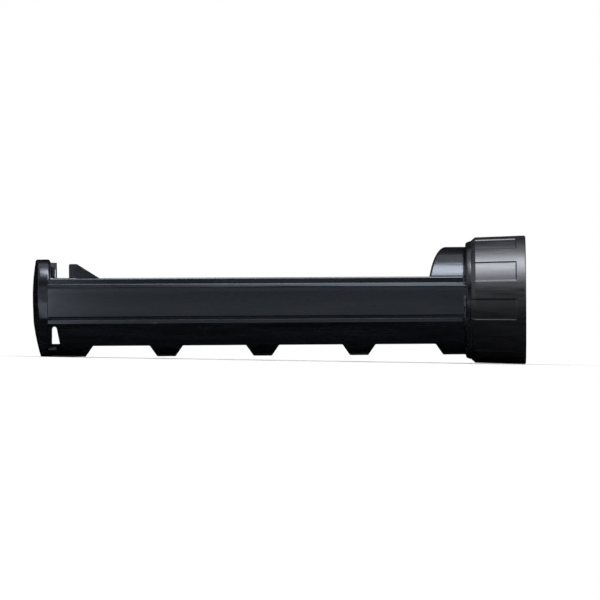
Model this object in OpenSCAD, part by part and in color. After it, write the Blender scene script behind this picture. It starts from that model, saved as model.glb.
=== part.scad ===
// Cartridge holder of a caulking tool: an open trough that carries a 50 mm sealant cartridge,
// and the coupling ring that screws it to the tool. X runs from the front plate to the ring's
// rear face, where the origin is, and Z is up.

/* [Overall] */
// Length from the tip of the front plate's dome to the coupling ring's rear face
overall_len = 271.5; // [262:0.5:290]
// Radius of the bore that holds the tail of a 50 mm cartridge
bore_r = 26; // [25.5:0.1:30]
// How much wider the open trough is than that bore, all round
trough_gap = 0.3; // [0.1:0.1:0.5]

/* [Trough] */
// Thickness of the round belly
belly_wall = 3.5; // [2.5:0.1:4.5]
// How far the straps' flat feet stand below the belly
foot_rise = 0.3; // [0.1:0.1:0.8]
// Half width of the straps' flat feet
foot_half = 7; // [4:0.5:9]
// Thickness of the walls at their flat side panels
panel_wall = 3.7; // [3:0.1:4.5]
// Thickness of the walls' top lip
lip_wall = 2.6; // [2.2:0.1:3]
// Height of the walls' top edge above the axis
wall_top = 12.3; // [12:0.1:15]
// Radius of the shoulder bar's corners
shoulder_r = 1.8; // [1:0.1:2.5]
// How far the shoulder bar stands out from the panel
shoulder_rise = 0.4; // [0.2:0.1:1]
// Height of the shoulder bar's top
shoulder_top = 9.8; // [9:0.1:10.5]
// Height of the shoulder bar
shoulder_h = 5.4; // [4:0.1:6]
// Depth below the axis at which the side panels end
panel_end = 8; // [7:0.1:9]
// Height and depth of the groove between the panel and the lower bead
groove_h = 1.4; // [0.8:0.1:1.8]
// Height of the lower bead
bead_h = 2.4; // [1.8:0.1:3]
// How far the lower bead stands out from the panel
bead_rise = 0.2; // [0.1:0.1:0.6]
// Bevel under the lower bead
bead_bevel = 0.6; // [0.3:0.1:0.9]

/* [Windows and straps] */
// Distance from one strap to the next
strap_pitch = 52.95; // [48:0.05:54]
// Length of a strap at its foot
strap_len = 10; // [8:0.5:14]
// How far the windows' upper edges come up inside the trough
window_bite = 2.4; // [1:0.1:5]
// How far each window end slants in towards its upper edge
window_slant = 4.1; // [3:0.1:6]
// Distance from the shoulder collar to the centre of the nearest strap
rear_strap = 58.75; // [54:0.05:62]
// Length of the rear foot, ahead of the shoulder collar
rear_foot = 12.45; // [10:0.05:15]
// Length of the front foot, from the nose
front_foot = 29.3; // [26:0.1:32]

/* [Front plate] */
// Thickness of the plate at its nose
plate_t = 9.9; // [8:0.1:10.5]
// How far the plate's sides stand in from the side panels
plate_inset = 0.9; // [0.4:0.1:1.5]
// Height of the plate's top above the axis
plate_top = 23.8; // [22:0.1:26]
// Radius of the plate's two upper corners
plate_corner_r = 16; // [14:0.1:17]
// Radius of the domed front face
dome_r = 115; // [100:1:140]
// Height above the axis of the dome's foremost point
dome_z = 3; // [0:0.5:6]
// Half width of the nozzle notch
notch_half = 11; // [9:0.5:13]

/* [Seat boss and side slots] */
// Length of the raised seat behind the plate
boss_len = 3.7; // [3:0.1:5]
// How far the seat's top lies below the plate's top
boss_drop = 1.8; // [1:0.1:3]
// Thickness of the seat's walls round its coring
boss_skin = 0.8; // [0.6:0.1:1.2]
// Depth of the corings below the walls' top edge
core_low = 6; // [4:0.5:8]
// Half width of the solid middle between the corings
boss_core = 17; // [14:0.5:20]
// Gap from the plate to the side slots
slot_gap = 0.8; // [0.5:0.1:2]
// Length of a side slot at its lower end
slot_len = 4.7; // [4:0.1:5.5]
// Depth below the axis of the slots' lower ends
slot_low = 22.7; // [20:0.1:23.5]
// Radius of the slots' round upper ends
slot_r = 1.6; // [1.2:0.1:2]
// Half width of the flat sided heel below the slots
heel_half = 17; // [15:0.5:18]
// Height of the heel
heel_h = 2.6; // [2:0.1:3.5]

/* [Guide posts] */
// Distance from the nose to the posts
post_back = 20.7; // [19.5:0.1:23]
// Length of a post along the holder
post_len = 4.2; // [3:0.1:5]
// Thickness of a post
post_wall = 1.9; // [1.5:0.1:2.1]
// Height of the posts' tops above the axis
post_top = 20.9; // [19:0.1:23]
// How far the posts reach inside the bore's width
post_reach = 0.6; // [0.3:0.1:0.8]
// How far the posts run down the inside of the walls
post_root_len = 8; // [6:0.5:9]
// Length of the gusset behind a post
gusset_len = 13.5; // [10:0.1:15]
// Thickness of the gusset
gusset_wall = 1.2; // [1:0.1:1.5]

/* [Arch and collar] */
// Thickness of the arch over the cartridge's tail
arch_wall = 3.3; // [2.5:0.1:3.8]
// Length of the arch at full height, ahead of the shoulder collar
arch_len = 10.85; // [10:0.05:14]
// Reach of the arch's swept front edge, ahead of its full height
arch_reach = 8.5; // [6:0.1:10]
// Drop of the arch's swept front edge, if it ran out to its foremost point
arch_drop = 23; // [20:0.5:24]
// Height of the shoulder collar over the neck, at its front
collar_front_h = 2.6; // [2:0.1:3]
// Height of the shoulder collar over the neck, at its rear
collar_rear_h = 3.5; // [3:0.1:4]
// Thickness of the shoulder collar
collar_t = 2.85; // [2.5:0.05:3.2]

/* [Neck] */
// Wall of the neck that the coupling ring turns on
neck_wall = 3; // [2.8:0.1:3.6]
// Depth of the retaining ring's groove
snap_groove = 1.2; // [1:0.1:1.4]
// Length of the neck behind that groove
snap_land = 2.65; // [2:0.05:3]
// Thickness of the friction ring, and depth of its groove
o_ring_t = 1.6; // [1.4:0.1:1.8]
// Length of the friction ring's groove
o_groove_len = 2.2; // [2:0.1:2.6]

/* [Coupling ring] */
// Length of the coupling ring
ring_len = 29.9; // [28:0.1:34]
// Wall behind the thread's grooves at the ring's rear face
ring_rear_wall = 2.7; // [2.2:0.1:3.5]
// Wall at the front end, were the thread to run that far
ring_front_wall = 1.8; // [1.6:0.1:2.2]
// Length of the front chamfer
chamfer_len = 2.1; // [1.5:0.1:2.5]
// Thickness of the front lip
lip_t = 4; // [3.6:0.1:4.5]
// Width of the shelf inside the lip, from the neck to the thread's crests
shelf_w = 2.6; // [2.4:0.1:3]
// Depth of the relief between the thread and the lip
relief = 0.6; // [0.3:0.1:0.9]
// Width of the bevel at the ring's rear edge
rear_bevel = 0.9; // [0.3:0.1:1.2]

/* [Grip pads] */
// Number of grip pads
pad_count = 10; // [6:1:12]
// Angle that one pad covers
pad_angle = 18.8; // [14:0.2:22]
// Angle of the first pad's middle above the side that faces -Y
pad_start = -8.6; // [-18:0.2:18]
// Depth of the pads
pad_depth = 0.8; // [0.5:0.1:0.9]
// Length of the bevel at a pad's rear end
pad_bevel = 1.1; // [0.6:0.1:1.5]
// Width of the plain band behind the pads
rear_band = 4.9; // [3:0.1:8]

/* [Thread] */
// Depth of the thread's grooves
thread_depth = 1.1; // [0.8:0.1:1.2]
// Distance from one groove to the next
thread_pitch = 4; // [3.5:0.1:4.5]
// Gap between the thread's inner end and the neck's end
thread_runout = 1.5; // [1:0.1:2]

/* [Loose pieces] */
// Thickness of the thrust washer
washer_t = 1; // [0.8:0.05:1.2]
// Thickness of the retaining ring
snap_t = 2; // [1.5:0.1:2.2]
// How far the retaining ring stands out of its groove
snap_reach = 1.9; // [1.4:0.1:2.2]
// Angle of the retaining ring's gap
snap_gap = 18; // [10:1:40]

/* [Clearances] */
// Radial clearance between the neck and the lip that turns on it
running_gap = 0.08; // [0.02:0.01:0.1]
// Radial clearance of the thrust washer on the neck
washer_gap = 0.15; // [0.1:0.05:0.2]
// Radial clearance from the thrust washer to the thread it passes through
pass_gap = 0.3; // [0.2:0.05:0.4]
// End clearance between the pieces on the neck
end_gap = 0.1; // [0.05:0.05:0.15]
// Gap between the shoulder collar and the coupling ring
collar_gap = 0.3; // [0.2:0.05:0.4]

/* [Hidden] */
$fn = 128;

// Radii, from the bore outwards
trough_r = bore_r + trough_gap;
belly_r = bore_r + belly_wall;
panel_half = bore_r + panel_wall;
lip_out = bore_r + lip_wall;
plate_half = panel_half - plate_inset;
arch_r = bore_r + arch_wall;
neck_r = bore_r + neck_wall;
collar_front_r = neck_r + collar_front_h;
collar_rear_r = neck_r + collar_rear_h;
crest_r = neck_r + shelf_w;
cavity_r = crest_r + relief;
ring_rear_r = crest_r + thread_depth + ring_rear_wall;
ring_front_r = crest_r + thread_depth + ring_front_wall;
foot_depth = belly_r + foot_rise;
window_depth = trough_r - window_bite;
plate_low_r = foot_depth + 0.2;

// Stations along the holder, from the nose to the ring's rear face at 0
nose_x = -overall_len;
plate_rear = nose_x + plate_t;
boss_rear = plate_rear + boss_len;
post_front = nose_x + post_back;
post_rear = post_front + post_len;
collar_rear = -ring_len - collar_gap;
collar_front = collar_rear - collar_t;
arch_full = collar_front - arch_len;
last_strap = collar_front - rear_strap;
lip_rear = -ring_len + lip_t;
washer_front = lip_rear + end_gap;
washer_rear = washer_front + washer_t;
snap_front = washer_rear + end_gap;
groove_front = snap_front - end_gap / 2;
groove_rear = snap_front + snap_t + end_gap / 2;
seat_x = groove_rear + snap_land;
thread_end = seat_x + thread_runout;
o_ring_x = -ring_len + lip_t / 2;
gate_x = nose_x + 67.8;

// Grooves of the neck
groove_r = neck_r - snap_groove;
o_groove_r = neck_r - o_ring_t;

// Wall section: the thin lip stands on the round shoulder
shoulder_y = panel_half + shoulder_rise - shoulder_r;
bead_y = panel_half + bead_rise;
bead_top = -panel_end - groove_h;
bead_low = bead_top - bead_h;
slot_top = 1.3 - bead_low;

// The posts reach in a little past the bore, down the inside of the walls
post_in = bore_r - post_reach;
post_out = post_in + post_wall;
gusset_out = post_in + gusset_wall;
post_root = wall_top - post_root_len;

// A flat drawing in Y and Z, made solid from x0 to x1
module along_x(x0, x1) {
    translate([x0, 0, 0]) rotate([90, 0, 90]) linear_extrude(x1 - x0) children();
}

// A flat drawing in X and Z, made solid across the holder from y0 to y1
module across_y(y0, y1) {
    translate([0, y1, 0]) rotate([90, 0, 0]) linear_extrude(y1 - y0) children();
}

// A drawing whose points are [radius, x], turned about the holder's axis
module about_x(angle = 360) {
    rotate([0, 90, 0]) rotate_extrude(angle = angle) children();
}

module both_sides() {
    children();
    mirror([0, 1, 0]) children();
}

module tube(outer, inner, x0, x1) {
    about_x() translate([inner, x0]) square([outer - inner, x1 - x0]);
}

// Section of one wall: top lip, shoulder bar, flat panel, groove and lower bead
module wall_section() {
    inner = bore_r - 2 * belly_wall;
    root_z = bead_low - 4;
    bar_high = shoulder_top - shoulder_r;
    bar_low = shoulder_top - shoulder_h + shoulder_r;
    translate([inner, 0]) square([lip_out - inner, wall_top]);
    translate([inner, -panel_end]) square([panel_half - inner, panel_end + bar_low]);
    translate([shoulder_y, bar_low]) square([shoulder_r, bar_high - bar_low]);
    for (z = [bar_low, bar_high]) translate([shoulder_y, z]) circle(shoulder_r);
    polygon([
        [inner, 0], [panel_half - groove_h, 0], [panel_half - groove_h, bead_top],
        [bead_y, bead_top], [bead_y, bead_low + bead_bevel], [bead_y - bead_bevel, bead_low],
        [sqrt(pow(belly_r, 2) - pow(root_z, 2)), root_z], [inner, root_z]
    ]);
}

module trough_section() {
    difference() {
        union() {
            circle(belly_r);
            translate([-foot_half, -foot_depth]) square([2 * foot_half, belly_wall]);
            wall_section();
            mirror([1, 0]) wall_section();
        }
        circle(trough_r);
        translate([-trough_r, 0]) square([2 * trough_r, 3 * trough_r]);
    }
}

// A window cut across the belly, from foot to foot, narrower at its upper edge
module window(x0, x1) {
    depth = foot_depth + 1;
    run = window_slant * (depth - window_depth) / (foot_depth - window_depth);
    across_y(-belly_r - 2, belly_r + 2) polygon([
        [x0 + window_slant - run, -depth], [x1 - window_slant + run, -depth],
        [x1 - window_slant, -window_depth], [x0 + window_slant, -window_depth]
    ]);
}

// The four windows between the front foot, the three straps and the rear foot
module windows() {
    window(last_strap + strap_len / 2, collar_front - rear_foot);
    for (i = [0 : 1]) {
        strap = last_strap - i * strap_pitch;
        window(strap - strap_pitch + strap_len / 2, strap - strap_len / 2);
    }
    window(nose_x + front_foot, last_strap - 2 * strap_pitch - strap_len / 2);
}

// Outline of the front plate in Y and Z
module plate_outline() {
    corner_y = plate_half - plate_corner_r;
    corner_z = plate_top - plate_corner_r;
    translate([-plate_half, -1]) square([2 * plate_half, corner_z + 1]);
    translate([-corner_y, -1]) square([2 * corner_y, plate_top + 1]);
    for (side = [-1, 1]) translate([side * corner_y, corner_z]) circle(plate_corner_r);
    intersection() {
        circle(plate_low_r);
        translate([-plate_half, -foot_depth]) square([2 * plate_half, foot_depth]);
    }
}

module notch_outline() {
    circle(notch_half);
    translate([-notch_half, 0]) square([2 * notch_half, 2 * plate_top]);
}

// Raised seat behind the plate that the cartridge's shoulder pushes on, cored from both sides
module seat_boss() {
    boss_half = bore_r - 1;
    boss_top = plate_top - boss_drop;
    core_z = wall_top - core_low;
    difference() {
        along_x(plate_rear - 1, boss_rear) intersection() {
            circle(bore_r + 1);
            translate([-boss_half, -notch_half - 3]) square([2 * boss_half, boss_top + notch_half + 3]);
        }
        both_sides() translate([plate_rear + 0.2, boss_core, core_z])
            cube([boss_len - 0.2 - boss_skin, bore_r, boss_top - 3 * boss_skin - core_z]);
    }
}

// The tapered slot right through both walls behind the plate, under the lower bead
module side_slot() {
    slot_front = plate_rear + slot_gap;
    across_y(-belly_r - 2, belly_r + 2) {
        translate([slot_front + slot_r, -slot_top - slot_r]) circle(slot_r);
        polygon([
            [slot_front, -slot_low], [slot_front + slot_len, -slot_low],
            [slot_front + 2 * slot_r, -slot_top - slot_r], [slot_front, -slot_top - slot_r]
        ]);
    }
}

// A guide post on the wall, with a rounded foot outside and a sloping gusset behind
module post() {
    foot_r = lip_out - post_out;
    along_x(post_front, post_rear) difference() {
        union() {
            translate([post_in, post_root]) square([post_out - post_in, post_top - post_root]);
            translate([post_out - 0.1, wall_top - 0.5]) square([foot_r + 0.1, foot_r + 0.5]);
        }
        translate([lip_out, wall_top + foot_r]) circle(foot_r);
    }
    across_y(post_in, gusset_out) polygon([
        [post_rear - 0.5, post_root], [post_rear - 0.5, post_top - 0.2], [post_rear, post_top - 0.2],
        [post_rear + gusset_len, wall_top - 0.1], [post_rear + gusset_len, post_root]
    ]);
}

// The arch's swept front edge in X and Z: everything behind it stays
module arch_keep() {
    edge = [for (t = [0 : 6 : 84]) [
        arch_full - arch_reach * cos(t),
        arch_r - arch_drop + arch_drop * sin(t)
    ]];
    polygon(concat(
        [[collar_rear, -1], [edge[0][0], -1]],
        edge,
        [[arch_full, arch_r + 0.01], [arch_full, arch_r + 1], [collar_rear, arch_r + 1]]
    ));
}

module cradle() {
    color([0.07, 0.07, 0.08]) difference() {
        union() {
            difference() {
                along_x(plate_rear - 1, collar_rear) trough_section();
                windows();
            }
            intersection() {
                along_x(nose_x - 1, plate_rear) plate_outline();
                translate([nose_x + dome_r, 0, dome_z]) sphere(dome_r, $fn = 200);
            }
            seat_boss();
            both_sides() post();
            // Flat sided heel of the front foot, below the side slots
            translate([plate_rear - 1, -heel_half, -slot_low - 0.9 - heel_h])
                cube([boss_len + 1, 2 * heel_half, heel_h]);
            intersection() {
                tube(arch_r, bore_r - 1, arch_full - arch_reach, collar_rear);
                across_y(-arch_r - 1, arch_r + 1) arch_keep();
            }
            about_x() polygon([
                [bore_r - 1, collar_front], [collar_front_r, collar_front],
                [collar_rear_r, collar_rear], [bore_r - 1, collar_rear]
            ]);
            tube(neck_r, bore_r - 1, collar_rear - 1, seat_x);
            // Stub of the moulding's gate on the lower beads
            both_sides() translate([gate_x, bead_y - 0.2, (bead_top + bead_low) / 2 - 0.4])
                sphere(0.6, $fn = 24);
        }
        along_x(arch_full - 1, 1) circle(bore_r);
        along_x(boss_rear, arch_full) circle(trough_r);
        along_x(nose_x - 2, boss_rear + 1) notch_outline();
        side_slot();
        tube(neck_r + 1, groove_r, groove_front, groove_rear);
        tube(neck_r + 1, o_groove_r, o_ring_x - o_groove_len / 2, o_ring_x + o_groove_len / 2);
    }
}

function ring_outer(x) = ring_rear_r + x * (ring_rear_r - ring_front_r) / (ring_len - chamfer_len);

// Section of the coupling ring as [radius, x] points, without its thread
module ring_section() {
    lip_bore = neck_r + running_gap;
    polygon([
        [lip_bore, -ring_len], [collar_rear_r, -ring_len],
        [ring_front_r, -ring_len + chamfer_len], [ring_outer(-rear_bevel), -rear_bevel],
        [ring_rear_r - rear_bevel, 0], [crest_r, 0], [crest_r, thread_end],
        [cavity_r, thread_end], [cavity_r, lip_rear], [lip_bore, lip_rear]
    ]);
}

// Grooves of the thread, each a trapezoid
module thread_grooves() {
    flank = thread_pitch / 5;
    land = thread_pitch * 0.3;
    for (x = [-land - flank : -thread_pitch : thread_end + flank]) about_x() polygon([
        [crest_r - 0.1, x - flank - land / 2 - 0.1], [crest_r + thread_depth, x - land / 2],
        [crest_r + thread_depth, x + land / 2], [crest_r - 0.1, x + flank + land / 2 + 0.1]
    ]);
}

// One recessed pad: open at the front, bevelled at its rear end
module grip_pad() {
    pad_front = -ring_len - 1;
    about_x(pad_angle) polygon([
        [ring_outer(pad_front) - pad_depth, pad_front], [ring_rear_r + 2, pad_front],
        [ring_rear_r + 2, -rear_band], [ring_outer(-rear_band) + 0.01, -rear_band],
        [ring_outer(-rear_band - pad_bevel) - pad_depth, -rear_band - pad_bevel]
    ]);
}

module coupling_ring() {
    color([0.09, 0.09, 0.1]) difference() {
        about_x() ring_section();
        thread_grooves();
        // The profile starts at -Z, so a quarter turn brings the count to -Y
        for (i = [0 : pad_count - 1])
            rotate([-90 - pad_start - i * 360 / pad_count + pad_angle / 2, 0, 0]) grip_pad();
    }
}

module thrust_washer() {
    color([0.85, 0.83, 0.76]) tube(crest_r - pass_gap, neck_r + washer_gap, washer_front, washer_rear);
}

// Sprung into the neck's groove, with its gap at the bottom
module retaining_ring() {
    color([0.6, 0.61, 0.63]) rotate([snap_gap / 2, 0, 0]) about_x(360 - snap_gap)
        translate([groove_r + end_gap, snap_front])
            square([neck_r + snap_reach - groove_r - end_gap, snap_t]);
}

module friction_ring() {
    color([0.05, 0.05, 0.05]) about_x() translate([o_groove_r + o_ring_t / 2, o_ring_x])
        circle(o_ring_t / 2, $fn = 32);
}

cradle();
coupling_ring();
thrust_washer();
retaining_ring();
friction_ring();
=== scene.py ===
import bpy
import bmesh
import math
from mathutils import Matrix, Quaternion, Vector


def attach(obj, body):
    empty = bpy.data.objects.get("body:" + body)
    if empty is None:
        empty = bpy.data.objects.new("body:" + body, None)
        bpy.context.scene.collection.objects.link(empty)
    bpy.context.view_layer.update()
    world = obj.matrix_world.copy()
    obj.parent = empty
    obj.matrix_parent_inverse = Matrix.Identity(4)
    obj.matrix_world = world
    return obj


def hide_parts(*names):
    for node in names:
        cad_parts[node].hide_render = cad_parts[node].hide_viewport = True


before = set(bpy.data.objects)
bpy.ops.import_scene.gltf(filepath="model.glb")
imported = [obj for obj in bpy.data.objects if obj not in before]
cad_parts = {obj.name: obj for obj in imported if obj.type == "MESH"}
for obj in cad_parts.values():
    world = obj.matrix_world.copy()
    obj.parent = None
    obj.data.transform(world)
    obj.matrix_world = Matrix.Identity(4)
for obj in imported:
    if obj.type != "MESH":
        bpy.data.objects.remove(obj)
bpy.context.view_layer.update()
scene = bpy.context.scene
scene.view_settings.view_transform = "Standard"
mm = 0.001
weld = 1e-6  # points of a mesh that are closer than this, in metres, are one
print("frame loaded:", sorted(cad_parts))


# Camera

# A very long lens on the -Y side, almost level: the picture shows next to no perspective
camera = {
    "lens": 1200,
    "sensor": 36,
    "acrossMm": 330,
    "aimMm": (-124.1, 0, 0.65),
    "elevation": 0.05,
    "roll": 0.36,
}


def makeCamera():
    data = bpy.data.cameras.new("photoCamera")
    data.lens = camera["lens"]
    data.sensor_width = camera["sensor"]
    data.clip_start, data.clip_end = 0.01, 200
    obj = bpy.data.objects.new("photoCamera", data)
    scene.collection.objects.link(obj)
    tilt = math.radians(camera["elevation"])
    back = Vector((0, -math.cos(tilt), math.sin(tilt)))
    distance = camera["acrossMm"] * mm * camera["lens"] / camera["sensor"]
    obj.rotation_mode = "QUATERNION"
    obj.location = Vector(camera["aimMm"]) * mm + back * distance
    turn = Quaternion(-back, math.radians(camera["roll"]))
    obj.rotation_quaternion = turn @ (-back).to_track_quat("-Z", "Y")
    scene.camera = obj


makeCamera()
print("camera placed")


# Small helpers

def srgb(text):
    # sRGB hex to the linear colour that a socket takes
    parts = [int(text[i:i + 2], 16) / 255 for i in (1, 3, 5)]
    return tuple(c / 12.92 if c <= 0.04045 else ((c + 0.055) / 1.055) ** 2.4 for c in parts) + (1.0,)


def addNode(tree, kind, inputs=None, **settings):
    # One node with its settings; an input is a value, or the output socket that feeds it
    node = tree.nodes.new(kind)
    for name, value in settings.items():
        setattr(node, name, value)
    for name, value in (inputs or {}).items():
        if isinstance(value, bpy.types.NodeSocket):
            tree.links.new(value, node.inputs[name])
        else:
            node.inputs[name].default_value = value
    return node


def emptyTree(owner):
    # The node tree of a new material or world, without its default nodes
    owner.use_nodes = True
    owner.node_tree.nodes.clear()
    return owner.node_tree


def placeMesh(name, mesh, material=None):
    obj = bpy.data.objects.new(name, mesh)
    scene.collection.objects.link(obj)
    if material:
        mesh.materials.append(material)
    return obj


def bakeModifiers(obj):
    # The evaluated shape becomes a plain mesh, and the modifiers go
    graph = bpy.context.evaluated_depsgraph_get()
    graph.update()
    mesh = bpy.data.meshes.new_from_object(obj.evaluated_get(graph), depsgraph=graph)
    obj.modifiers.clear()
    old = obj.data
    obj.data = mesh
    bpy.data.meshes.remove(old)


def smoothByAngle(mesh, degrees):
    mesh.polygons.foreach_set("use_smooth", [True] * len(mesh.polygons))
    mesh.set_sharp_from_angle(angle=math.radians(degrees))


def roundedProfile(corners):
    # corners: (x, r, fillet radius, steps); gives the profile with each corner rounded. A fillet
    # takes less than half of the side that it starts on
    points = []
    count = len(corners)
    most = 0.45
    for i, (x, r, fillet, steps) in enumerate(corners):
        here = Vector((x, r))
        before = Vector(corners[i - 1][:2]) - here
        after = Vector(corners[(i + 1) % count][:2]) - here
        if fillet <= 0:
            points.append((x, r))
            continue
        angle = before.angle(after)
        cut = min(fillet / math.tan(angle / 2), before.length * most, after.length * most)
        start = here + before.normalized() * cut
        end = here + after.normalized() * cut
        for k in range(steps + 1):
            t = k / steps
            p = start * (1 - t) ** 2 + here * 2 * t * (1 - t) + end * t ** 2
            points.append((p.x, p.y))
    return points


def turnedMesh(name, profile, angles, shift):
    # A closed profile of (x, r) turned about the X axis; shift moves each point in or out
    mesh = bpy.data.meshes.new(name)
    verts, faces = [], []
    rows, turns = len(profile), len(angles)
    for angle in angles:
        for x, r in profile:
            x, r = shift(angle, x, r)
            verts.append((x * mm, -r * math.cos(angle) * mm, r * math.sin(angle) * mm))
    for i in range(turns):
        j = (i + 1) % turns
        for k in range(rows):
            n = (k + 1) % rows
            faces.append((i * rows + k, i * rows + n, j * rows + n, j * rows + k))
    mesh.from_pydata(verts, [], faces)
    shell = bmesh.new()
    shell.from_mesh(mesh)
    bmesh.ops.recalc_face_normals(shell, faces=shell.faces)
    shell.to_mesh(mesh)
    shell.free()
    return mesh


# Nylon of the cradle and the ring

# Moulded black nylon: glass filled polyamide from a polished tool, so it is almost black, a
# little blue, with a broad soft sheen, faint flow streaks along the holder and rubbed edges
cradleNylon = {
    "dark": "#0C0D10",
    "light": "#15171C",
    "rubbed": "#3A3D42",
    "bloom": "#C8D3E4",
    "roughness": 0.25,
    "streakMm": 26.0,
    "grainMm": 0.45,
    "grainDepthMm": 0.004,
    "waveMm": 38.0,
    "waveDepthMm": 0.05,
    "edgeMm": 0.35,
}

# The same nylon from a spark eroded tool: a fine even texture, so its sheen is duller and wider
ringNylon = {
    "dark": "#0E0F12",
    "light": "#17181C",
    "rubbed": "#43464B",
    "bloom": "#EEF1FB",
    "roughness": 0.38,
    "streakMm": 9.0,
    "grainMm": 0.5,
    "grainDepthMm": 0.012,
    "waveMm": 14.0,
    "waveDepthMm": 0.02,
    "edgeMm": 0.3,
}


# What both share: the streaks' stretch along the holder and their size, the rubbed patches and
# how far a normal turns at an edge, how dull a rub is, and how the streaks change the roughness
nylon = {
    "stretch": 0.12,
    "streakShare": 0.2,
    "streakEnds": (0.3, 0.7),
    "scuffMm": 2.2,
    "scuffEnds": (0.42, 0.68),
    "patches": (0.05, 0.75),
    "edgeTurn": (0.985, 0.80),
    "rubDull": 0.2,
    "sheen": (-0.05, 0.06),
    "refraction": 1.53,
}


def mouldedNylon(name, look):
    material = bpy.data.materials.new(name)
    tree = emptyTree(material)
    place = addNode(tree, "ShaderNodeTexCoord").outputs["Object"]
    alongHolder = addNode(tree, "ShaderNodeMapping", {
        "Vector": place, "Scale": (nylon["stretch"], 1, 1)})
    streaks = addNode(tree, "ShaderNodeTexNoise", {
        "Vector": alongHolder.outputs["Vector"],
        "Scale": 1 / (look["streakMm"] * mm * nylon["streakShare"]), "Detail": 3.0, "Roughness": 0.55})
    waves = addNode(tree, "ShaderNodeTexNoise", {
        "Vector": place, "Scale": 1 / (look["waveMm"] * mm), "Detail": 1.0, "Roughness": 0.4})
    grain = addNode(tree, "ShaderNodeTexNoise", {
        "Vector": place, "Scale": 1 / (look["grainMm"] * mm), "Detail": 2.0, "Roughness": 0.5})
    scuffs = addNode(tree, "ShaderNodeTexNoise", {
        "Vector": place, "Scale": 1 / (nylon["scuffMm"] * mm), "Detail": 4.0, "Roughness": 0.65})
    # An edge is where the rounded normal leaves the face's own
    rounded = addNode(tree, "ShaderNodeBevel", {"Radius": look["edgeMm"] * mm}, samples=6)
    flat = addNode(tree, "ShaderNodeNewGeometry")
    match = addNode(tree, "ShaderNodeVectorMath", {
        0: rounded.outputs["Normal"], 1: flat.outputs["Normal"]}, operation="DOT_PRODUCT")
    edge = addNode(tree, "ShaderNodeMapRange", {
        "Value": match.outputs["Value"],
        "From Min": nylon["edgeTurn"][0], "From Max": nylon["edgeTurn"][1]})
    patchy = addNode(tree, "ShaderNodeMapRange", {
        "Value": scuffs.outputs["Fac"],
        "From Min": nylon["scuffEnds"][0], "From Max": nylon["scuffEnds"][1],
        "To Min": nylon["patches"][0], "To Max": nylon["patches"][1]})
    rub = addNode(tree, "ShaderNodeMath", {
        0: edge.outputs["Result"], 1: patchy.outputs["Result"]}, operation="MULTIPLY")
    low, high = nylon["streakEnds"]
    tone = addNode(tree, "ShaderNodeMapRange", {
        "Value": streaks.outputs["Fac"], "From Min": low, "From Max": high})
    body = addNode(tree, "ShaderNodeMix", {
        "Factor": tone.outputs["Result"], 6: srgb(look["dark"]), 7: srgb(look["light"])},
        data_type="RGBA")
    colour = addNode(tree, "ShaderNodeMix", {
        "Factor": rub.outputs["Value"], 6: body.outputs[2], 7: srgb(look["rubbed"])}, data_type="RGBA")
    sheen = addNode(tree, "ShaderNodeMapRange", {
        "Value": streaks.outputs["Fac"], "From Min": low, "From Max": high,
        "To Min": look["roughness"] + nylon["sheen"][0],
        "To Max": look["roughness"] + nylon["sheen"][1]})
    dulled = addNode(tree, "ShaderNodeMath", {
        0: rub.outputs["Value"], 1: nylon["rubDull"], 2: sheen.outputs["Result"]},
        operation="MULTIPLY_ADD")
    wavy = addNode(tree, "ShaderNodeBump", {
        "Height": waves.outputs["Fac"], "Distance": look["waveDepthMm"] * mm, "Strength": 1.0})
    grainy = addNode(tree, "ShaderNodeBump", {
        "Height": grain.outputs["Fac"], "Distance": look["grainDepthMm"] * mm, "Strength": 1.0,
        "Normal": wavy.outputs["Normal"]})
    shader = addNode(tree, "ShaderNodeBsdfPrincipled", {
        "Base Color": colour.outputs[2], "Roughness": dulled.outputs["Value"],
        "IOR": nylon["refraction"], "Specular Tint": srgb(look["bloom"]),
        "Normal": grainy.outputs["Normal"]})
    addNode(tree, "ShaderNodeOutputMaterial", {"Surface": shader.outputs["BSDF"]})
    return material


cradleMaterial = mouldedNylon("polishedBlackNylon", cradleNylon)
ringMaterial = mouldedNylon("texturedBlackNylon", ringNylon)
print("nylon mixed")


# Cradle

# Widths of the rounded edges and where each kind of edge is found, in millimetres. The limits
# smoothBelow, flatWithin and sharperThan are in degrees
cradle = {
    "edge": 0.3,
    "archEdge": 1.1,
    "softEdge": 1.0,
    "crispEdge": 0.1,
    "edgeSteps": 3,
    "smoothBelow": 50,
    "flatWithin": 0.4,
    "cutsX": (-259.5, -242.9, -206.3, -201.1, -150.3, -98.1, -54.2, -35.3),
    "wallTop": 12.8,
    "plateRear": -261.0,
    "plateBack": -261.6,
    "plateInner": 30.2,
    "near": 0.1,
    "notchSide": 11.2,
    "archFrom": -57.0,
    "archTo": -43.2,
    "archOuter": 28.8,
    "collarFront": (-33.4, -32.6),
    "collarInner": 31,
    "collarRear": -30.5,
    "collarOuter": 32,
    "postTo": -233.0,
    "postFront": -250.8,
    "postRoot": 13.5,
    "postEdge": 0.8,
    "sharperThan": 21,
    "gateX": -203.7,
    "gateReach": 1.6,
    "gateEdge": 3.0,
    "gateTop": -8.5,
    "partingFrom": 28.5,
    "partingTo": 29.8,
    "partingEnd": -50,
    "draftRise": 0.3,
    "crispLevels": (-9.7, 9.7, 12.48),
    "crispBand": (-0.05, 0.4),
    "crispFrom": 25.9,
    "archFoot": 12.92,
}


def onParting(place):
    # Ahead of the arch, on the outside of the walls, at the height of the axis
    side = abs(place.y) / mm
    onWall = cradle["partingFrom"] < side < cradle["partingTo"]
    return onWall and abs(place.z) < weld and place.x < cradle["partingEnd"] * mm


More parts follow.
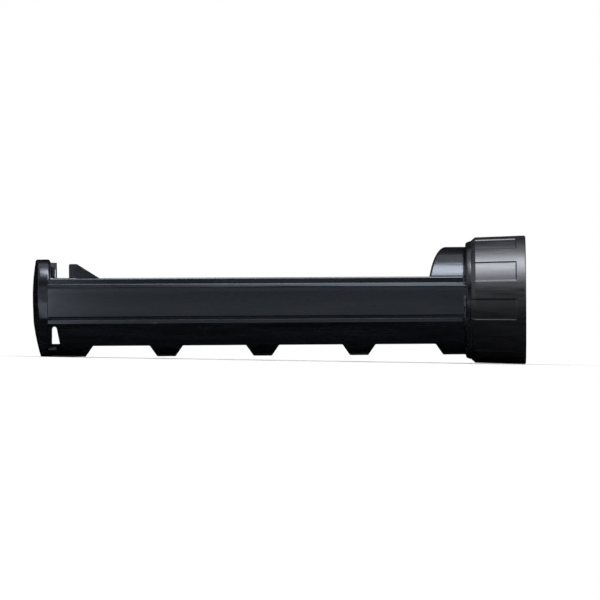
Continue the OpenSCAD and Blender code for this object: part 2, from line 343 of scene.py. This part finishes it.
# The shoulder bar along each wall, the wall's top above it and the arch's foot on that, in
# millimetres; the slopes are in degrees
bar = {
    "front": -262.7,
    "rear": -33.0,
    "low": 4.4,
    "top": 9.8,
    "corner": 1.8,
    "out": 30.1,
    "inner": 28.9,
    "touch": 0.03,
    "panel": 29.82,
    "foot": 5.07,
    "footBelow": 7,
    "slopeFrom": 8.9,
    "slope": 21.5,
    "slopeFade": 4,
    "slopeFoot": 7.7,
    "slopeTop": 9.7,
    "wallTop": 12.3,
    "wallTouch": 0.01,
    "wallRise": 0.18,
    "wallInner": 25.3,
    "wallRadius": 34.6,
    "archFrom": -57.5,
    "archTo": -46,
    "archShift": 0.7,
    "archHeight": 17,
    "climb": 0.3,
    "climbFrom": -60,
    "climbAbove": 7,
}


def edgeWidth(place):
    # The plate's rim, the posts' front edges, the arch's swept edge and the collar's front edge
    # are well rounded. The gussets, the collar's rear edge and the long edges of the walls are
    # crisp, and the hidden corners where the plate and the collar meet the trough stay sharp
    x, y, z = (c / mm for c in place)
    radius = math.hypot(y, z)
    aboveWall = z > cradle["wallTop"]
    if abs(x - cradle["plateBack"]) < cradle["near"] and radius < cradle["plateInner"] and not aboveWall:
        return 0.0
    if aboveWall and x < cradle["plateRear"] and abs(y) > cradle["notchSide"]:
        return cradle["softEdge"]
    if aboveWall and cradle["plateRear"] < x < cradle["postTo"]:
        onPost = abs(x - cradle["postFront"]) < cradle["near"] and z > cradle["postRoot"]
        return cradle["postEdge"] if onPost else cradle["crispEdge"]
    if aboveWall and cradle["archFrom"] < x < cradle["archTo"] and radius > cradle["archOuter"]:
        return cradle["archEdge"]
    if cradle["collarFront"][0] < x < cradle["collarFront"][1]:
        return cradle["softEdge"] if radius > cradle["collarInner"] else 0.0
    if x > cradle["collarRear"] and radius > cradle["collarOuter"]:
        return cradle["crispEdge"]
    under, over = cradle["crispBand"]
    if any(under < z - level < over for level in cradle["crispLevels"]) and abs(y) > cradle["crispFrom"]:
        return cradle["crispEdge"]
    return cradle["edge"]


def barPlace(x, z):
    # Where a point of the bar's round section goes: its foot runs out into the panel, and its
    # top becomes a flat slope that is steeper toward the plate
    if z < bar["footBelow"]:
        return bar["panel"], bar["foot"]
    if z < bar["slopeFrom"]:
        return bar["out"], bar["slopeFoot"]
    toPlate = (bar["rear"] - x) / (bar["rear"] - bar["front"])
    slope = math.radians(bar["slope"] - bar["slopeFade"] * toPlate)
    return bar["out"] - (bar["slopeTop"] - bar["slopeFoot"]) * math.tan(slope), bar["slopeTop"]


def easeShapes(shell):
    # The bar is reshaped, the arch's foot reaches a little further forward, and the wall's top
    # rises and, with the bar, climbs a little toward the plate
    for vert in shell.verts:
        x, y, z = (c / mm for c in vert.co)
        centre = min(max(z, bar["low"] + bar["corner"]), bar["top"] - bar["corner"])
        outline = math.hypot(z - centre, abs(y) - bar["out"] + bar["corner"])
        onBar = abs(outline - bar["corner"]) < bar["touch"] and abs(y) > bar["inner"]
        if bar["front"] < x < bar["rear"] and onBar:
            out, z = barPlace(x, z)
            vert.co = Vector((x, math.copysign(out, y), z)) * mm
        elif bar["archFrom"] < x < bar["archTo"] and z > bar["wallTop"] - bar["wallTouch"]:
            vert.co.x -= bar["archShift"] * (1 - (z - bar["wallTop"]) / bar["archHeight"]) * mm
        if abs(z - bar["wallTop"]) < bar["wallTouch"]:
            vert.co.z += bar["wallRise"] * mm
        onWall = abs(y) > bar["wallInner"] and math.hypot(y, z) < bar["wallRadius"]
        if bar["front"] < x < bar["climbFrom"] and z > bar["climbAbove"] and onWall:
            vert.co.z += bar["climb"] * (bar["climbFrom"] - x) / (bar["climbFrom"] - bar["front"]) * mm


# The bead along each wall's lower edge, with the stub of the mould's gate on it, in millimetres
bead = {
    "front": -263,
    "rear": -34,
    "inner": 28.2,
    "top": -9.4,
    "low": -11.2,
    "bottom": -11.8,
    "face": 29.9,
    "touch": 0.02,
    "topDrop": 0.3,
    "lowDrop": 0.65,
    "gateRise": 0.7,
    "floor": 28.6,
    "undercut": 0.14,
}


def lowerBead(shell):
    # The groove above the bead is wider and a little undercut, and the gate's stub is flatter
    for vert in shell.verts:
        x, y, z = (c / mm for c in vert.co)
        inBead = bead["bottom"] - bead["touch"] < z < bead["top"] + bead["touch"]
        if not (inBead and abs(y) > bead["inner"] and bead["front"] < x < bead["rear"]):
            continue
        if abs(y) > bead["face"] + bead["touch"] / 2:
            y = math.copysign(bead["face"] + bead["gateRise"] * (abs(y) - bead["face"]), y)
        if abs(y) < bead["floor"]:
            y -= math.copysign(bead["undercut"], y)
        z -= bead["topDrop"] if z > bead["top"] - bead["touch"] else bead["lowDrop"]
        vert.co = Vector((x, y, z)) * mm


def cutAcross(shell, at, normal):
    everything = shell.verts[:] + shell.edges[:] + shell.faces[:]
    bmesh.ops.bisect_plane(shell, geom=everything, plane_co=at, plane_no=normal, dist=1e-7)


def weighEdges(shell):
    # Each sharp edge gets its own share of the widest bevel; the gate's stub keeps its edges
    weight = shell.edges.layers.float.new("bevel_weight_edge")
    for edge in shell.edges:
        middle = (edge.verts[0].co + edge.verts[1].co) / 2
        nearGate = abs(middle.x - cradle["gateX"] * mm) < cradle["gateReach"] * mm
        nearGate = nearGate and middle.z < cradle["gateTop"] * mm
        onGate = nearGate and edge.calc_length() < cradle["gateEdge"] * mm
        if edge.calc_face_angle(0) > math.radians(cradle["sharperThan"]) and not onGate:
            edge[weight] = edgeWidth(middle) / cradle["archEdge"]


def shapeCradle():
    shell = bmesh.new()
    shell.from_mesh(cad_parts["cradle"].data)
    bmesh.ops.remove_doubles(shell, verts=shell.verts, dist=weld)
    flat = math.radians(cradle["flatWithin"])
    bmesh.ops.dissolve_limit(shell, angle_limit=flat, verts=shell.verts, edges=shell.edges)
    easeShapes(shell)
    bmesh.ops.remove_doubles(shell, verts=shell.verts, dist=5e-6)
    # Flat faces that run round a hole are cut in four, so that each stays a simple outline
    for normal in ((0, 1, 0), (0, 0, 1), (0, 1, 1), (0, 1, -1)):
        cutAcross(shell, (0, 0, 0), normal)
    # Cuts along the holder keep the shading of a rounded end near that end
    for x in cradle["cutsX"]:
        cutAcross(shell, (x * mm, 0, 0), (1, 0, 0))
    lowerBead(shell)
    # The mould parts at the axis: the sides lean in from there, upward and downward
    for vert in shell.verts:
        if onParting(vert.co):
            vert.co.y += math.copysign(cradle["draftRise"] * mm, vert.co.y)
    weighEdges(shell)
    mesh = bpy.data.meshes.new("cradleBody")
    shell.to_mesh(mesh)
    shell.free()
    return mesh


def makeCradle():
    obj = placeMesh("cradleBody", shapeCradle(), cradleMaterial)
    bevel = obj.modifiers.new("roundedEdges", "BEVEL")
    bevel.limit_method = "WEIGHT"
    bevel.width = cradle["archEdge"] * mm
    bevel.segments = cradle["edgeSteps"]
    bevel.use_clamp_overlap = False
    bevel.miter_outer = "MITER_ARC"
    bakeModifiers(obj)
    mesh = obj.data
    smoothByAngle(mesh, cradle["smoothBelow"])
    # Two edges are too blunt for that angle and still read as lines: the plate's rim at the
    # parting line and the arch's foot on the wall
    for edge in mesh.edges:
        ends = [mesh.vertices[v].co for v in edge.vertices]
        onRim = all(abs(p.z) < weld and p.x < cradle["plateRear"] * mm for p in ends)
        onFoot = all(abs(p.z - cradle["archFoot"] * mm) < 2e-5 for p in ends)
        edge.use_edge_sharp |= onRim or onFoot
    normals = obj.modifiers.new("flatFaces", "WEIGHTED_NORMAL")
    normals.keep_sharp = True
    bakeModifiers(obj)
    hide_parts("cradle")
    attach(obj, "cradle_body")
    return obj


cradleBody = makeCradle()
print("cradle:", len(cradleBody.data.polygons), "faces")


# Coupling ring

# In millimetres from the rear face forward, with the pads' angles in degrees. Wall steps are in
# widths of a pad's wall, bevel steps in fifths of the pads' rear bevel
ring = {
    "length": 30.1,
    "rearRadius": 35.38,
    "frontRadius": 34.5,
    "chamferRadius": 32.5,
    "chamferLength": 2.3,
    "lipBore": 29.08,
    "lipRear": -25.9,
    "cavityRadius": 32.2,
    "crestRadius": 31.6,
    "touch": 0.02,
    "threadStart": -0.25,
    "threadEnd": -18.5,
    "threadDepth": 1.1,
    "threadPitch": 4.0,
    "threadHalf": 1.35,
    "threadFlank": 0.8,
    "threadRunIn": 0.8,
    "threadRunOut": 1.5,
    "padCount": 10,
    "padAngle": 18.8,
    "padStart": -8.6,
    "padDepth": 0.45,
    "padWall": 0.8,
    "padRadius": 35,
    "padRunOut": 1.2,
    "rearBand": 4.9,
    "padBevel": 1.1,
    "skinRadius": 32.45,
    "skinDepth": 3.2,
    "skinRear": -0.6,
    "bandRadius": 34,
    "frontFillet": 0.08,
    "shoulderFillet": 0.7,
    "rearFillet": 1.0,
    "mouthFillet": 0.35,
    "cavityFillet": 0.4,
    "lipFillet": 0.25,
    "filletSteps": 3,
    "broadSteps": 5,
    "padSteps": 6,
    "landSteps": 5,
    "wallSteps": (-0.6, -0.4, -0.2, 0, 0.2, 0.4, 0.6),
    "bevelSteps": (5.4, 5, 4, 3, 2, 1, 0, -0.4),
    "longRun": 2,
    "padRun": 1.2,
    "bandRun": 1.0,
    "threadRun": 0.2,
    "plainRun": 1.5,
    "smoothBelow": 32,
}


def smoothStep(t):
    t = min(1.0, max(0.0, t))
    return t * t * (3 - 2 * t)


def ringOuter(x):
    slope = (ring["rearRadius"] - ring["frontRadius"]) / (ring["length"] - ring["chamferLength"])
    return ring["rearRadius"] + x * slope


def padShare(angle):
    # 1 inside a pad, 0 on the land between, with a drafted wall between them
    period = 360 / ring["padCount"]
    off = abs((math.degrees(angle) - ring["padStart"] + period / 2) % period - period / 2)
    wall = math.degrees(ring["padWall"] / ring["padRadius"])
    return smoothStep((ring["padAngle"] / 2 - off) / wall + 0.5)


def ringShift(angle, x, r):
    # The pads sink the outer skin, and the thread's groove winds through the crest inside
    start, end, touch = ring["threadStart"], ring["threadEnd"], ring["touch"]
    if r > ring["skinRadius"] and x < ring["skinRear"] and ringOuter(x) - r < ring["skinDepth"]:
        depth = ring["padDepth"] * padShare(angle)
        depth *= smoothStep((-ring["rearBand"] - x) / ring["padBevel"])
        # The pads are open at the front and run out through the chamfer
        if x < -ring["length"] + ring["padRunOut"]:
            depth = min(depth, max(0.0, r - ring["chamferRadius"]))
        r -= depth
    elif abs(r - ring["crestRadius"]) < touch and end + 0.1 < x < start:
        pitch = ring["threadPitch"]
        phase = ((x - pitch * angle / (2 * math.pi)) / pitch) % 1.0
        off = abs(phase - 0.5) * pitch
        groove = smoothStep((ring["threadHalf"] - off) / ring["threadFlank"])
        fade = smoothStep((start - x) / ring["threadRunIn"])
        fade *= smoothStep((x - end) / ring["threadRunOut"])
        r += ring["threadDepth"] * groove * fade
    return x, r


def ringAngles():
    # Even steps on each pad and on the land between, and close ones at the pads' walls
    period = 2 * math.pi / ring["padCount"]
    half = math.radians(ring["padAngle"]) / 2
    wall = ring["padWall"] / ring["padRadius"]
    onPad, onLand = ring["padSteps"], ring["landSteps"]
    offsets = [half * k / onPad for k in range(1 - onPad, onPad)]
    offsets += [side * (half + wall * k) for side in (-1, 1) for k in ring["wallSteps"]]
    offsets += [half + (period / 2 - half) * k / onLand for k in range(1, onLand + 1)]
    offsets += [-half - (period / 2 - half) * k / onLand for k in range(1, onLand)]
    offsets.sort()
    middles = [math.radians(ring["padStart"]) + i * period for i in range(ring["padCount"])]
    return [middle + offset for middle in middles for offset in offsets]


def fill(start, end, step):
    # The stops between start and end, about one step apart
    count = max(1, round(abs(end - start) / step))
    return [start + (end - start) * k / count for k in range(1, count)]


def ringProfile():
    # The ring's section, with its long runs cut up: finely along the thread and at the pads'
    # rear wall, coarsely elsewhere
    front, rear = -ring["length"], 0.0
    shoulder = front + ring["chamferLength"]
    crest, lip, cavity = ring["crestRadius"], ring["lipBore"], ring["cavityRadius"]
    few, many = ring["filletSteps"], ring["broadSteps"]
    corners = [
        (front, ring["chamferRadius"], ring["frontFillet"], few),
        (shoulder, ring["frontRadius"], ring["shoulderFillet"], many),
        (rear, ring["rearRadius"], ring["rearFillet"], many),
        (rear, crest, ring["mouthFillet"], few),
        (ring["threadEnd"], crest, 0, 0),
        (ring["threadEnd"], cavity, 0, 0),
        (ring["lipRear"], cavity, ring["cavityFillet"], few),
        (ring["lipRear"], lip, ring["lipFillet"], few),
        (front, lip, ring["lipFillet"], few),
    ]
    plain = roundedProfile(corners)
    profile = []
    for i, (x, r) in enumerate(plain):
        profile.append((x, r))
        nextX, nextR = plain[(i + 1) % len(plain)]
        if abs(nextX - x) < ring["longRun"]:
            continue
        if min(r, nextR) > ring["bandRadius"]:
            band, slope = -ring["rearBand"], ring["padBevel"]
            stops = fill(x, band - slope - 0.15, ring["padRun"])
            stops += [band - slope * k / 5 for k in ring["bevelSteps"]]
            stops += fill(band + 0.5, nextX, ring["bandRun"])
        elif abs(r - crest) < ring["touch"] and abs(nextR - crest) < ring["touch"]:
            stops = fill(x, nextX, ring["threadRun"])
        else:
            stops = fill(x, nextX, ring["plainRun"])
        for stop in stops:
            t = (stop - x) / (nextX - x)
            profile.append((stop, r + (nextR - r) * t))
    return profile


def makeRing():
    mesh = turnedMesh("couplingRing", ringProfile(), ringAngles(), ringShift)
    obj = placeMesh("couplingRing", mesh, ringMaterial)
    smoothByAngle(mesh, ring["smoothBelow"])
    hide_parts("coupling_ring")
    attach(obj, "ring_body")
    return obj


couplingRing = makeRing()
print("coupling ring:", len(couplingRing.data.polygons), "faces")


# Small pieces in the ring

# Natural acetal, turned: milky, with fine tool rings about the axis
acetal = {"body": "#E4DFCF", "groove": "#D3CDBA", "roughness": 0.42, "ringMm": 0.18, "depthMm": 0.01}
# Spring steel with clear zinc plate: a cool bright skin, brushed round, a little clouded
zinc = {"body": "#A9ADB2", "cloud": "#8B9096", "roughness": 0.30, "ringMm": 0.12, "depthMm": 0.006}
# Moulded nitrile rubber under grease
rubber = {
    "body": "#0B0B0C", "dust": "#1B1B1C", "roughness": 0.55, "grainMm": 0.3, "depthMm": 0.01,
    "grease": 0.6, "greaseRoughness": 0.12,
}
# On acetal and zinc alike: where the clouds and the rings begin and end, and how much duller or
# glossier the rings make it
roundSkin = {"cloudEnds": (0.35, 0.65), "ringEnds": (0.3, 0.7), "sheen": (-0.06, 0.08)}
# In degrees: edges below the first are shaded smooth, and those above the second get broken
smallPiece = {"smoothBelow": 40, "sharperThan": 50, "edgeSteps": 2}


def radiusNoise(tree, sizeMm):
    # Noise that only changes with the distance from the X axis, as a lathe leaves it
    place = addNode(tree, "ShaderNodeTexCoord").outputs["Object"]
    across = addNode(tree, "ShaderNodeVectorMath", {0: place, 1: (0, 1, 1)}, operation="MULTIPLY")
    radius = addNode(tree, "ShaderNodeVectorMath", {0: across.outputs["Vector"]}, operation="LENGTH")
    return addNode(tree, "ShaderNodeTexNoise", {
        "W": radius.outputs["Value"], "Scale": 1 / (sizeMm * mm), "Detail": 2.0}, noise_dimensions="1D")


def roundMaterial(name, look, second, metallic, cloudMm):
    # Clouded from the first colour to the second, with fine rings about the X axis
    material = bpy.data.materials.new(name)
    tree = emptyTree(material)
    place = addNode(tree, "ShaderNodeTexCoord").outputs["Object"]
    rings = radiusNoise(tree, look["ringMm"])
    clouds = addNode(tree, "ShaderNodeTexNoise", {
        "Vector": place, "Scale": 1 / (cloudMm * mm), "Detail": 3.0})
    share = addNode(tree, "ShaderNodeMapRange", {
        "Value": clouds.outputs["Fac"],
        "From Min": roundSkin["cloudEnds"][0], "From Max": roundSkin["cloudEnds"][1]})
    colour = addNode(tree, "ShaderNodeMix", {
        "Factor": share.outputs["Result"], 6: srgb(look["body"]), 7: srgb(look[second])},
        data_type="RGBA")
    sheen = addNode(tree, "ShaderNodeMapRange", {
        "Value": rings.outputs["Fac"],
        "From Min": roundSkin["ringEnds"][0], "From Max": roundSkin["ringEnds"][1],
        "To Min": look["roughness"] + roundSkin["sheen"][0],
        "To Max": look["roughness"] + roundSkin["sheen"][1]})
    marks = addNode(tree, "ShaderNodeBump", {
        "Height": rings.outputs["Fac"], "Distance": look["depthMm"] * mm, "Strength": 1.0})
    shader = addNode(tree, "ShaderNodeBsdfPrincipled", {
        "Base Color": colour.outputs[2], "Roughness": sheen.outputs["Result"], "Metallic": metallic,
        "Normal": marks.outputs["Normal"]})
    addNode(tree, "ShaderNodeOutputMaterial", {"Surface": shader.outputs["BSDF"]})
    return material


def greasedRubber(look):
    material = bpy.data.materials.new("greasedNitrile")
    tree = emptyTree(material)
    place = addNode(tree, "ShaderNodeTexCoord").outputs["Object"]
    grain = addNode(tree, "ShaderNodeTexNoise", {
        "Vector": place, "Scale": 1 / (look["grainMm"] * mm), "Detail": 3.0})
    colour = addNode(tree, "ShaderNodeMix", {
        "Factor": grain.outputs["Fac"], 6: srgb(look["body"]), 7: srgb(look["dust"])}, data_type="RGBA")
    skin = addNode(tree, "ShaderNodeBump", {
        "Height": grain.outputs["Fac"], "Distance": look["depthMm"] * mm, "Strength": 1.0})
    shader = addNode(tree, "ShaderNodeBsdfPrincipled", {
        "Base Color": colour.outputs[2], "Roughness": look["roughness"],
        "Coat Weight": look["grease"], "Coat Roughness": look["greaseRoughness"],
        "Normal": skin.outputs["Normal"]})
    addNode(tree, "ShaderNodeOutputMaterial", {"Surface": shader.outputs["BSDF"]})
    return material


def makeSmallPiece(node, name, material, body, edgeMm):
    # The CAD piece again, welded, and with its corners broken where it has any
    shell = bmesh.new()
    shell.from_mesh(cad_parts[node].data)
    bmesh.ops.remove_doubles(shell, verts=shell.verts, dist=weld)
    mesh = bpy.data.meshes.new(name)
    shell.to_mesh(mesh)
    shell.free()
    obj = placeMesh(name, mesh, material)
    smoothByAngle(mesh, smallPiece["smoothBelow"])
    if edgeMm:
        bevel = obj.modifiers.new("brokenCorners", "BEVEL")
        bevel.limit_method = "ANGLE"
        bevel.angle_limit = math.radians(smallPiece["sharperThan"])
        bevel.width = edgeMm * mm
        bevel.segments = smallPiece["edgeSteps"]
        bakeModifiers(obj)
    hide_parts(node)
    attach(obj, body)


makeSmallPiece(
    "thrust_washer", "thrustWasher", roundMaterial("turnedAcetal", acetal, "groove", 0.0, 6.0),
    "washer_body", 0.12)
makeSmallPiece(
    "retaining_ring", "retainingRing", roundMaterial("zincedSpringSteel", zinc, "cloud", 1.0, 4.0),
    "cradle_body", 0.15)
makeSmallPiece(
    "friction_ring", "frictionRing", greasedRubber(rubber), "cradle_body", 0)
print("small pieces made")


# Ejector marks

# The pins that push the moulding off its core leave round witness marks in the trough, a pair
# on each strap
marks = {
    "firstX": -197.7,
    "pitch": 52.95,
    "count": 3,
    "trough": 26.3,
    "radius": 3.0,
    "proud": 0.12,
    "thickPerProud": 5.0,
    "turn": 24.0,
    "sides": 40,
    "smoothBelow": 40,
}


def marksTree():
    tree = bpy.data.node_groups.new("ejectorMarks", "GeometryNodeTree")
    settings = (
        ("First X", "NodeSocketFloat", marks["firstX"] * mm),
        ("Pitch", "NodeSocketFloat", marks["pitch"] * mm),
        ("Count", "NodeSocketInt", marks["count"]),
        ("Trough Radius", "NodeSocketFloat", marks["trough"] * mm),
        ("Mark Radius", "NodeSocketFloat", marks["radius"] * mm),
        ("Proud", "NodeSocketFloat", marks["proud"] * mm),
        ("Turn", "NodeSocketFloat", math.radians(marks["turn"])),
        ("Material", "NodeSocketMaterial", None),
    )
    for name, kind, value in settings:
        socket = tree.interface.new_socket(name, in_out="INPUT", socket_type=kind)
        if value is not None:
            socket.default_value = value
    tree.interface.new_socket("Geometry", in_out="OUTPUT", socket_type="NodeSocketGeometry")
    given = addNode(tree, "NodeGroupInput").outputs
    # One mark: a low disc whose top stands just inside the trough's wall at the lowest line
    thick = addNode(tree, "ShaderNodeMath", {
        0: given["Proud"], 1: marks["thickPerProud"]}, operation="MULTIPLY")
    half = addNode(tree, "ShaderNodeMath", {0: thick.outputs["Value"], 1: 0.5}, operation="MULTIPLY")
    top = addNode(tree, "ShaderNodeMath", {
        0: given["Proud"], 1: given["Trough Radius"]}, operation="SUBTRACT")
    height = addNode(tree, "ShaderNodeMath", {
        0: top.outputs["Value"], 1: half.outputs["Value"]}, operation="SUBTRACT")
    drop = addNode(tree, "ShaderNodeCombineXYZ", {"Z": height.outputs["Value"]})
    disc = addNode(tree, "GeometryNodeMeshCylinder", {
        "Vertices": marks["sides"], "Radius": given["Mark Radius"], "Depth": thick.outputs["Value"]})
    low = addNode(tree, "GeometryNodeTransform", {
        "Geometry": disc.outputs["Mesh"], "Translation": drop.outputs["Vector"]})
    pair = addNode(tree, "GeometryNodeJoinGeometry")
    for side in (1.0, -1.0):
        angle = addNode(tree, "ShaderNodeMath", {0: given["Turn"], 1: side}, operation="MULTIPLY")
        euler = addNode(tree, "ShaderNodeCombineXYZ", {"X": angle.outputs["Value"]})
        turned = addNode(tree, "GeometryNodeTransform", {
            "Geometry": low.outputs["Geometry"], "Rotation": euler.outputs["Vector"]})
        tree.links.new(turned.outputs["Geometry"], pair.inputs["Geometry"])
    start = addNode(tree, "ShaderNodeCombineXYZ", {"X": given["First X"]})
    step = addNode(tree, "ShaderNodeCombineXYZ", {"X": given["Pitch"]})
    line = addNode(tree, "GeometryNodeMeshLine", {
        "Count": given["Count"], "Start Location": start.outputs["Vector"],
        "Offset": step.outputs["Vector"]})
    placed = addNode(tree, "GeometryNodeInstanceOnPoints", {
        "Points": line.outputs["Mesh"], "Instance": pair.outputs["Geometry"]})
    real = addNode(tree, "GeometryNodeRealizeInstances", {"Geometry": placed.outputs["Instances"]})
    dressed = addNode(tree, "GeometryNodeSetMaterial", {
        "Geometry": real.outputs["Geometry"], "Material": given["Material"]})
    addNode(tree, "NodeGroupOutput", {"Geometry": dressed.outputs["Geometry"]})
    return tree


def makeMarks():
    tree = marksTree()
    obj = placeMesh("ejectorMarks", bpy.data.meshes.new("ejectorMarks"))
    modifier = obj.modifiers.new("ejectorMarks", "NODES")
    modifier.node_group = tree
    for item in tree.interface.items_tree:
        if item.name == "Material":
            modifier[item.identifier] = cradleMaterial
    bakeModifiers(obj)
    smoothByAngle(obj.data, marks["smoothBelow"])
    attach(obj, "cradle_body")
    return obj


ejectorMarks = makeMarks()
print("ejector marks:", len(ejectorMarks.data.polygons), "faces")


# Floor and light

# The holder rests on the ring's rim and its front foot, so the floor tips up to the foot. The
# floor's place is in millimetres, angles are in degrees, all other lengths in metres
studio = {
    "floorColour": "#FBFBFB",
    "feltColour": "#050505",
    "floorLow": -35.45,
    "floorTurnX": -3,
    "floorTilt": 1.28,
    "floorMetres": 80.0,
    "aim": (-0.13, 0, 0),
    "ambient": 0.36,
    "sun": 2.2,
    "sunElevation": 84,
    "sunAngle": 100,
}


def flatMesh(name, corners):
    mesh = bpy.data.meshes.new(name)
    mesh.from_pydata(corners, [], [(0, 1, 2, 3)])
    return mesh


def makeFloor():
    size = studio["floorMetres"] / 2
    mesh = flatMesh("floor", [(-size, -size, 0), (size, -size, 0), (size, size, 0), (-size, size, 0)])
    mesh.transform(Matrix.Rotation(math.radians(studio["floorTilt"]), 4, "Y"))
    mesh.transform(Matrix.Translation((studio["floorTurnX"] * mm, 0, studio["floorLow"] * mm)))
    material = bpy.data.materials.new("mattPaper")
    tree = emptyTree(material)
    paper = addNode(tree, "ShaderNodeBsdfDiffuse", {"Color": srgb(studio["floorColour"])})
    addNode(tree, "ShaderNodeOutputMaterial", {"Surface": paper.outputs["BSDF"]})
    placeMesh("floor", mesh, material)


def makeWorld():
    # White to the camera and in gloss, dimmer as a light on the matt floor
    world = bpy.data.worlds.new("studioWorld")
    scene.world = world
    tree = emptyTree(world)
    ray = addNode(tree, "ShaderNodeLightPath")
    seen = addNode(tree, "ShaderNodeMath", {
        0: ray.outputs["Is Camera Ray"], 1: ray.outputs["Is Transmission Ray"]}, operation="MAXIMUM")
    seenToo = addNode(tree, "ShaderNodeMath", {
        0: seen.outputs["Value"], 1: ray.outputs["Is Glossy Ray"]}, operation="MAXIMUM")
    ambient = addNode(tree, "ShaderNodeBackground", {
        "Color": (1, 1, 1, 1), "Strength": studio["ambient"]})
    white = addNode(tree, "ShaderNodeBackground", {"Color": (1, 1, 1, 1), "Strength": 1.0})
    mix = addNode(tree, "ShaderNodeMixShader", {
        0: seenToo.outputs["Value"], 1: ambient.outputs["Background"], 2: white.outputs["Background"]})
    addNode(tree, "ShaderNodeOutputWorld", {"Surface": mix.outputs["Shader"]})


def placeLight(name, kind, at, to):
    data = bpy.data.lights.new(name, kind)
    obj = bpy.data.objects.new(name, data)
    scene.collection.objects.link(obj)
    obj.location = Vector(at)
    obj.rotation_mode = "QUATERNION"
    obj.rotation_quaternion = (Vector(to) - Vector(at)).to_track_quat("-Z", "Y")
    obj.visible_camera = False
    return obj


def placePanel(name, at, to, length, height, radiance):
    # A rectangle of even radiance that only gloss sees
    obj = placeLight(name, "AREA", at, to)
    obj.data.shape = "RECTANGLE"
    obj.data.size, obj.data.size_y = length, height
    obj.data.energy = radiance * math.pi * length * height
    obj.visible_diffuse = False


def makeSun():
    tilt = math.radians(studio["sunElevation"])
    at = (studio["aim"][0], -math.cos(tilt), math.sin(tilt))
    obj = placeLight("softSun", "SUN", at, studio["aim"])
    obj.data.energy = studio["sun"]
    obj.data.angle = math.radians(studio["sunAngle"])
    obj.visible_glossy = False


# The strip of light over the holder, in metres and degrees. Each band is (lower elevation, upper
# elevation, radiance, middle x): a dimmer skirt, then a bright core
strip = {"height": 0.5, "length": 0.9, "bands": ((38, 55, 4.6, 0.28), (55, 80, 17.0, 0.15))}


def makeStrip():
    height = strip["height"]
    for lower, upper, radiance, x in strip["bands"]:
        near = -height / math.tan(math.radians(lower))
        far = -height / math.tan(math.radians(upper))
        middle = (near + far) / 2
        placePanel(
            "glossStrip", (x, middle, height), (x, middle, 0), strip["length"], far - near, radiance)


# A low glow at the left end, for the front plate and the panel beside it, in metres
glow = {"middle": (-0.40, -0.27, -0.012), "length": 0.28, "height": 0.04, "radiance": 3.8}


def makeGlow():
    x, y, z = glow["middle"]
    placePanel("leftGlow", (x, y, z), (x, 0, z), glow["length"], glow["height"], glow["radiance"])


# Black flags that only gloss sees, as in a studio for black plastic: they keep the top edge, the
# underside, the side and the right end dark. Each is (middle, half width, half height) in metres
flags = {
    "behindFlag": ((-0.13, 0.40, 0.37), (0.9, 0, 0), (0, 0, 0.43)),
    "underFlag": ((-0.13, 0.115, -0.0324), (0.9, 0, -0.0201), (0, 0.295, 0)),
    "frontFlag": ((-0.10, -0.30, 0.115), (0.39, 0, 0), (0, 0, 0.11)),
    "rightFlag": ((0.16, -0.28, 0.10), (0.17, 0, 0), (0, 0, 0.20)),
}


def makeFlags():
    material = bpy.data.materials.new("blackFelt")
    tree = emptyTree(material)
    felt = addNode(tree, "ShaderNodeBsdfDiffuse", {"Color": srgb(studio["feltColour"])})
    addNode(tree, "ShaderNodeOutputMaterial", {"Surface": felt.outputs["BSDF"]})
    for name, (middle, across, up) in flags.items():
        middle, across, up = Vector(middle), Vector(across), Vector(up)
        low, high = middle - up, middle + up
        mesh = flatMesh(name, [low - across, low + across, high + across, high - across])
        obj = placeMesh(name, mesh, material)
        obj.visible_camera = obj.visible_diffuse = False
        obj.visible_shadow = obj.visible_transmission = False


makeFloor()
makeWorld()
makeSun()
makeStrip()
makeGlow()
makeFlags()
print("studio lit")
